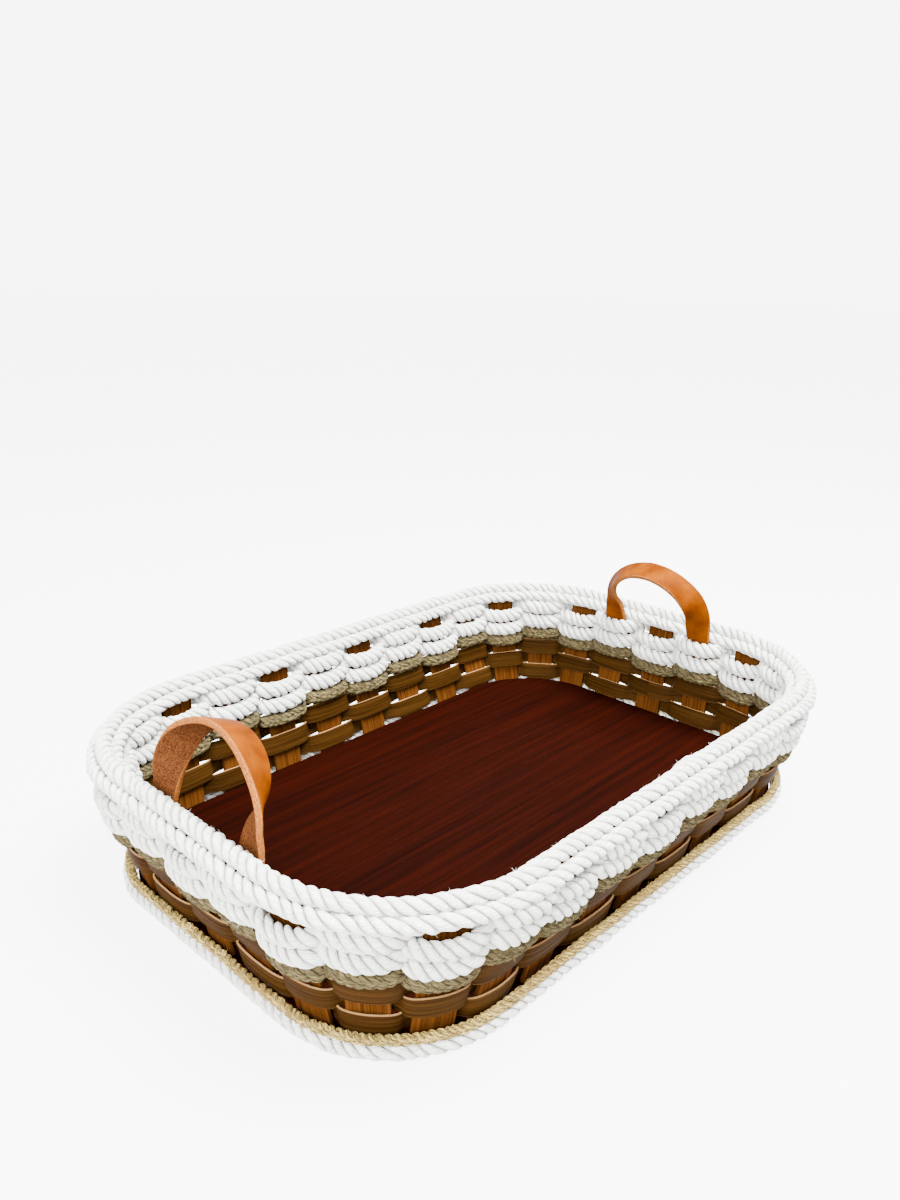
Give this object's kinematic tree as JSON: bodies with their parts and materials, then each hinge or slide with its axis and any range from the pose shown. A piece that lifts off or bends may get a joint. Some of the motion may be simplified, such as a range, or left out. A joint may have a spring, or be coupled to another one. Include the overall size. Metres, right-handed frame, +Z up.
{
  "type": "casserole tray basket",
  "caption": "Low open woven tray basket with a wooden base, rope rim and two leather strap handles, for carrying a lidded baking dish.",
  "frame": {"origin": "middle of the basket's underside, on the surface it stands on", "axes": "+Z up, X along the long way with a handle at each end, Y across; +X is the right end and -Y the front"},
  "size_m": [0.4604, 0.3238, 0.1401],
  "materials": {
    "stake_wood": "orange-brown stained flat slat, satin",
    "board_wood": "dark walnut stained board, satin",
    "reed": "walnut brown flat reed with fine grain and pale cut edges",
    "seagrass": "natural twisted seagrass cord, dry and fibrous",
    "cotton_rope": "off-white twisted three-strand cotton rope, matte",
    "leather": "orange tan vegetable-tanned leather, glossy grain side and fibrous flesh side"
  },
  "bodies": {
    "basket": {"base_board": "board_wood", "cotton_row_1": "cotton_rope", "cotton_row_2": "cotton_rope", "cotton_row_3": "cotton_rope", "cotton_row_4": "cotton_rope", "foot_cotton_rope": "cotton_rope", "foot_seagrass_rope": "seagrass", "left_handle_back_foot": "leather", "left_handle_front_foot": "leather", "reed_row_1": "reed", "reed_row_2": "reed", "reed_row_3": "reed", "right_handle_back_foot": "leather", "right_handle_front_foot": "leather", "rim_rope_inner": "cotton_rope", "rim_rope_outer": "cotton_rope", "rim_rope_top": "cotton_rope", "seagrass_row_1": "seagrass", "seagrass_row_2": "seagrass", "stake_01": "stake_wood", "stake_02": "stake_wood", "stake_03": "stake_wood", "stake_04": "stake_wood", "stake_05": "stake_wood", "stake_06": "stake_wood", "stake_07": "stake_wood", "stake_08": "stake_wood", "stake_09": "stake_wood", "stake_10": "stake_wood", "stake_11": "stake_wood", "stake_12": "stake_wood", "stake_13": "stake_wood", "stake_14": "stake_wood", "stake_15": "stake_wood", "stake_16": "stake_wood", "stake_17": "stake_wood", "stake_18": "stake_wood", "stake_19": "stake_wood", "stake_20": "stake_wood", "stake_21": "stake_wood", "stake_22": "stake_wood", "stake_23": "stake_wood", "stake_24": "stake_wood", "stake_25": "stake_wood", "stake_26": "stake_wood", "stake_27": "stake_wood", "stake_28": "stake_wood", "stake_29": "stake_wood", "stake_30": "stake_wood", "stake_31": "stake_wood", "stake_32": "stake_wood", "stake_33": "stake_wood", "stake_34": "stake_wood"},
    "right_handle": {"right_handle_loop": "leather"},
    "left_handle": {"left_handle_loop": "leather"}
  },
  "joints": [
    {"name": "right_handle_bend", "type": "hinge", "parent": "basket", "child": "right_handle", "pos_m": [0.2035, 0, 0.098], "axis": [0, 1, 0], "range_deg": [-55, 75], "stiffness_Nm_per_rad": 0.15},
    {"name": "left_handle_bend", "type": "hinge", "parent": "basket", "child": "left_handle", "pos_m": [-0.2035, 0, 0.098], "axis": [0, -1, 0], "range_deg": [-55, 75], "stiffness_Nm_per_rad": 0.15}
  ]
}
